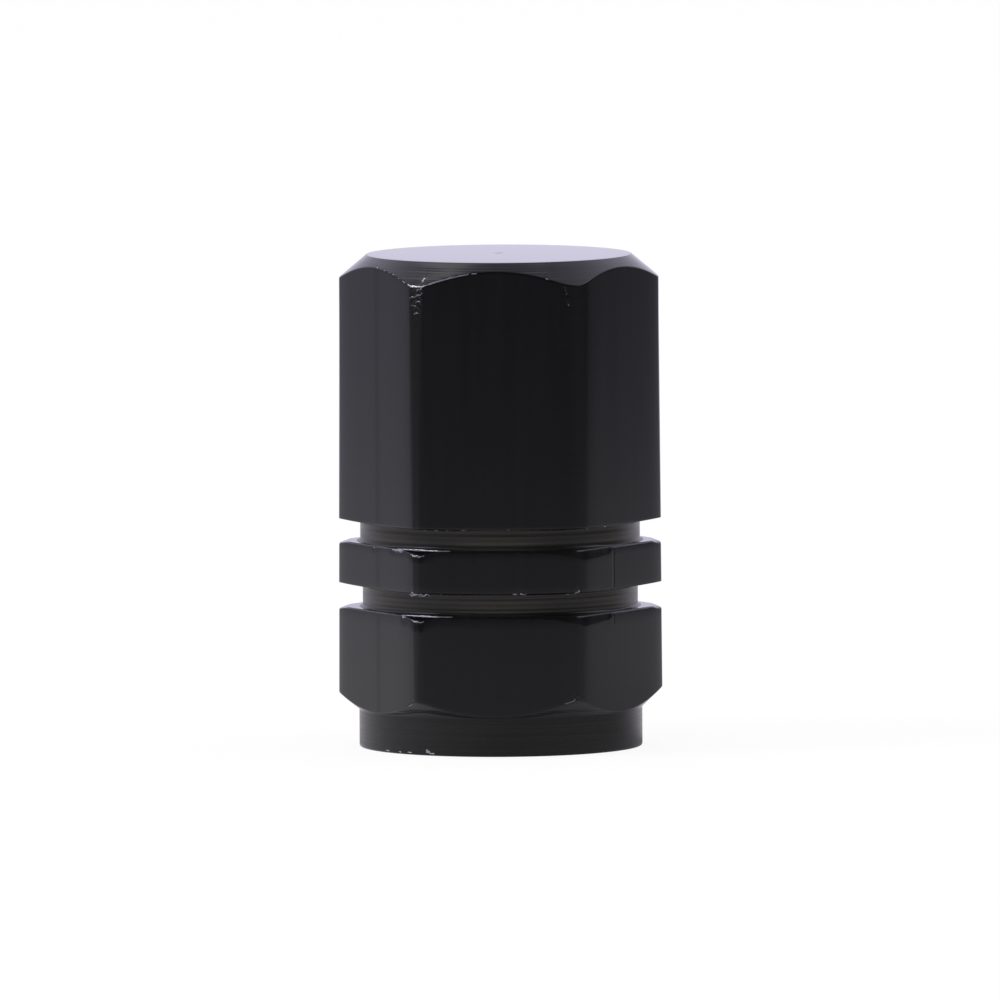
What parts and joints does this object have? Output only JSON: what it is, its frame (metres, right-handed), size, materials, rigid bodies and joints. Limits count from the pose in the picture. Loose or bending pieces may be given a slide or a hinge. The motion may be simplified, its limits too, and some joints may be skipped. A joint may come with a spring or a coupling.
{
  "type": "tyre valve cap",
  "caption": "Black screw-on tyre valve cap of hexagon metal bar, with two turned grooves, a blind threaded bore and a rubber sealing ring.",
  "frame": {"origin": "centre of the open rim, on the plane that the cap stands on", "axes": "+Z along the bore's axis towards the closed top; one flat of the hexagon faces -Y and two of its corners lie on the X axis"},
  "size_m": [0.0112, 0.01, 0.0173],
  "materials": {
    "black_anodised_aluminium": "black anodised, drawn flats and turned faces",
    "seal_rubber": "matt black moulded rubber"
  },
  "bodies": {
    "root": {"cap_body": "black_anodised_aluminium", "seal_ring": "seal_rubber"}
  },
  "joints": []
}
